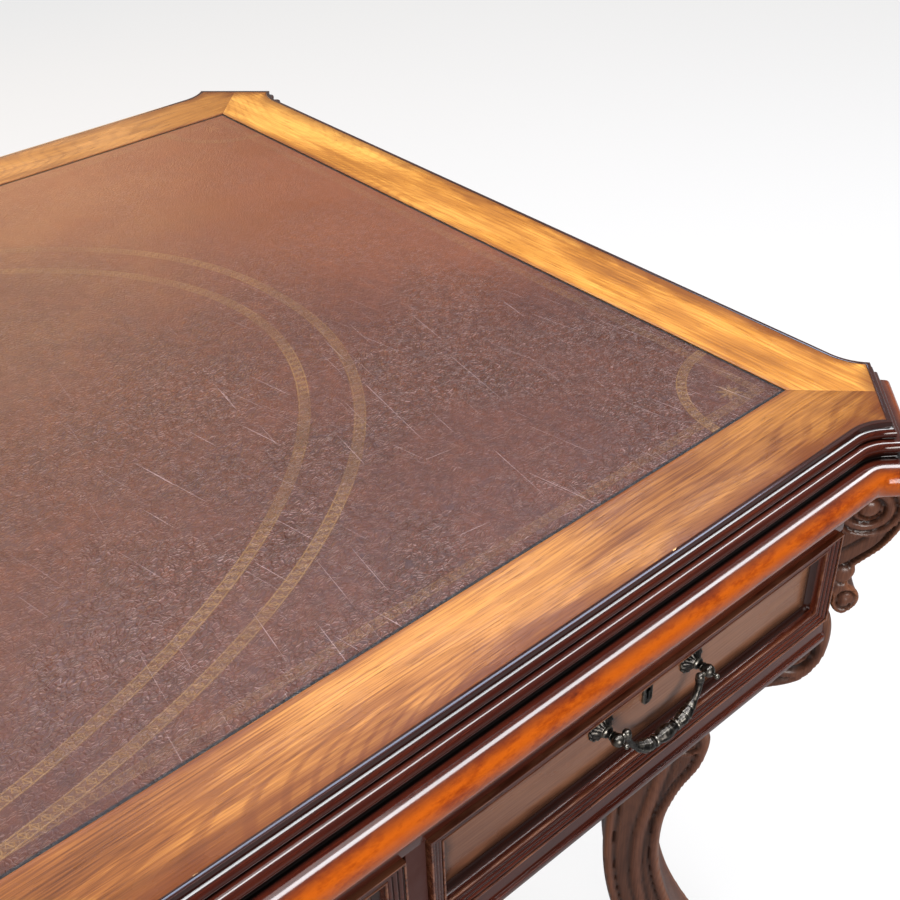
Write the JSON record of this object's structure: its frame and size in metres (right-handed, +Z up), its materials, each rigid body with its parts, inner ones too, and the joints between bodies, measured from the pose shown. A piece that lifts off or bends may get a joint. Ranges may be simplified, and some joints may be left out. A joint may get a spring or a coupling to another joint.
{
  "type": "writing desk with drawers",
  "caption": "Free-standing writing desk with an inset leather top, canted moulded edge, frieze drawers with bail pulls and diagonal scroll legs.",
  "frame": {"origin": "on the floor, under the centre of the top", "axes": "+Z up, +X along the length, drawers open towards -Y"},
  "size_m": [1.6608, 0.9468, 0.775],
  "materials": {
    "leather": "waxed, crackled, tooled",
    "honey_veneer": "satin lacquer",
    "edge_moulding": "gloss lacquer",
    "frieze_wood": "satin lacquer",
    "carved_wood": "satin lacquer, dark in the hollows",
    "drawer_panel": "gloss lacquer",
    "drawer_box_wood": "bare sanded",
    "secondary_wood": "bare sawn",
    "antique_bronze": "dark antique bronze",
    "steel": "zinc plated",
    "glide": "matt"
  },
  "bodies": {
    "desk": {"top_core": "secondary_wood", "leather_panel": "leather", "border_front": "honey_veneer", "border_back": "honey_veneer", "border_left": "honey_veneer", "border_right": "honey_veneer", "edge_moulding_front": "edge_moulding", "edge_moulding_back": "edge_moulding", "edge_moulding_left": "edge_moulding", "edge_moulding_right": "edge_moulding", "edge_moulding_corners": "edge_moulding", "front_top_rail": "frieze_wood", "front_bottom_rail": "frieze_wood", "back_panel": "frieze_wood", "left_panel": "frieze_wood", "right_panel": "frieze_wood", "frieze_panel_frames": "frieze_wood", "corner_posts": "frieze_wood", "drawer_partition_left": "secondary_wood", "drawer_partition_right": "secondary_wood", "drawer_runners": "secondary_wood", "drawer_kickers": "secondary_wood", "leg_front_left": "carved_wood", "leg_front_right": "carved_wood", "leg_back_left": "carved_wood", "leg_back_right": "carved_wood", "scroll_bracket_front_left": "carved_wood", "scroll_bracket_front_right": "carved_wood", "scroll_bracket_back_left": "carved_wood", "scroll_bracket_back_right": "carved_wood", "foot_glides": "glide", "top_screws": "steel"},
    "left_drawer": {"left_drawer_front": "drawer_panel", "left_drawer_frame": "frieze_wood", "left_drawer_sides": "drawer_box_wood", "left_drawer_back": "drawer_box_wood", "left_drawer_bottom": "drawer_box_wood", "left_drawer_pull_posts": "antique_bronze", "left_drawer_pull_rosettes": "antique_bronze", "left_drawer_escutcheon": "antique_bronze"},
    "centre_drawer": {"centre_drawer_front": "drawer_panel", "centre_drawer_frame": "frieze_wood", "centre_drawer_sides": "drawer_box_wood", "centre_drawer_back": "drawer_box_wood", "centre_drawer_bottom": "drawer_box_wood", "centre_drawer_pull_posts": "antique_bronze", "centre_drawer_pull_rosettes": "antique_bronze", "centre_drawer_escutcheon": "antique_bronze"},
    "right_drawer": {"right_drawer_front": "drawer_panel", "right_drawer_frame": "frieze_wood", "right_drawer_sides": "drawer_box_wood", "right_drawer_back": "drawer_box_wood", "right_drawer_bottom": "drawer_box_wood", "right_drawer_pull_posts": "antique_bronze", "right_drawer_pull_rosettes": "antique_bronze", "right_drawer_escutcheon": "antique_bronze"},
    "left_drawer_bail_body": {"left_drawer_bail": "antique_bronze"},
    "centre_drawer_bail_left_body": {"centre_drawer_bail_left": "antique_bronze"},
    "centre_drawer_bail_right_body": {"centre_drawer_bail_right": "antique_bronze"},
    "right_drawer_bail_body": {"right_drawer_bail": "antique_bronze"}
  },
  "joints": [
    {"name": "left_drawer_slide", "type": "slide", "parent": "desk", "child": "left_drawer", "axis": [0, -1, 0], "range_m": [0, 0.33]},
    {"name": "centre_drawer_slide", "type": "slide", "parent": "desk", "child": "centre_drawer", "axis": [0, -1, 0], "range_m": [0, 0.33]},
    {"name": "right_drawer_slide", "type": "slide", "parent": "desk", "child": "right_drawer", "axis": [0, -1, 0], "range_m": [0, 0.33]},
    {"name": "left_drawer_bail_hinge", "type": "hinge", "parent": "left_drawer", "child": "left_drawer_bail_body", "pos_m": [-0.509, -0.446, 0.672], "axis": [-1, 0, 0], "range_deg": [0, 90]},
    {"name": "centre_drawer_bail_left_hinge", "type": "hinge", "parent": "centre_drawer", "child": "centre_drawer_bail_left_body", "pos_m": [-0.18, -0.446, 0.672], "axis": [-1, 0, 0], "range_deg": [0, 90]},
    {"name": "centre_drawer_bail_right_hinge", "type": "hinge", "parent": "centre_drawer", "child": "centre_drawer_bail_right_body", "pos_m": [0.18, -0.446, 0.672], "axis": [-1, 0, 0], "range_deg": [0, 90]},
    {"name": "right_drawer_bail_hinge", "type": "hinge", "parent": "right_drawer", "child": "right_drawer_bail_body", "pos_m": [0.509, -0.446, 0.672], "axis": [-1, 0, 0], "range_deg": [0, 90]}
  ]
}
